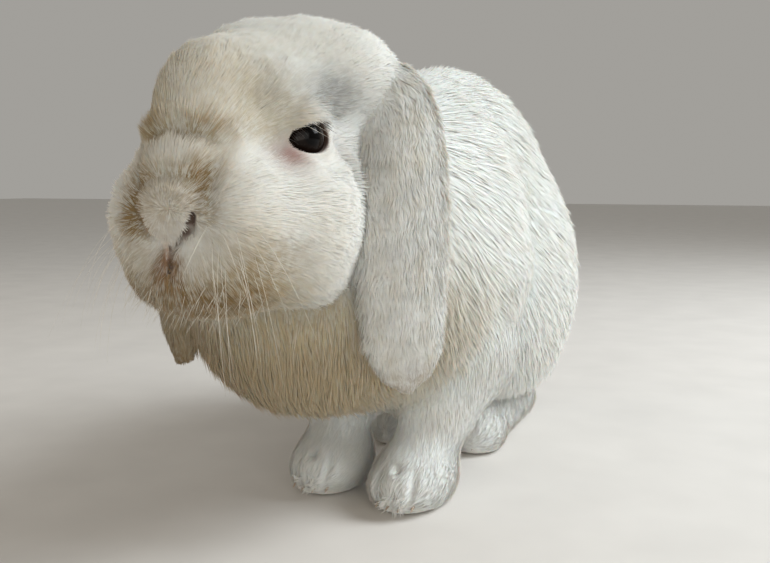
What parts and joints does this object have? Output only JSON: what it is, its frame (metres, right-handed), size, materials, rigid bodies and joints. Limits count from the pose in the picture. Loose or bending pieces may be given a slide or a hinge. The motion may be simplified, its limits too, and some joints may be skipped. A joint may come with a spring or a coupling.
{
  "type": "lop rabbit",
  "caption": "Life-size still model of a white lop-eared rabbit sitting with its head up, with hanging grey-flecked ears and short front feet.",
  "frame": {"origin": "on the floor, under the centre of the rabbit's length and width", "axes": "nose towards -Y, the rabbit's left side +X, up +Z"},
  "size_m": [0.142, 0.3252, 0.1887],
  "materials": {
    "cream_coat": "short plush fur, cream with beige and tan shading",
    "white_coat": "dense soft fur, white to pale cream",
    "grey_coat": "fur mottled in grey and white",
    "eye": "wet gloss, near-black brown"
  },
  "bodies": {
    "root": {"head": "cream_coat", "neck": "white_coat", "trunk": "white_coat", "tail": "white_coat", "ear_left": "grey_coat", "eye_left": "eye", "forepaw_left": "white_coat", "foreleg_left": "white_coat", "hind_foot_left": "white_coat", "thigh_left": "white_coat", "ear_right": "grey_coat", "eye_right": "eye", "forepaw_right": "white_coat", "foreleg_right": "white_coat", "hind_foot_right": "white_coat", "thigh_right": "white_coat"}
  },
  "joints": []
}
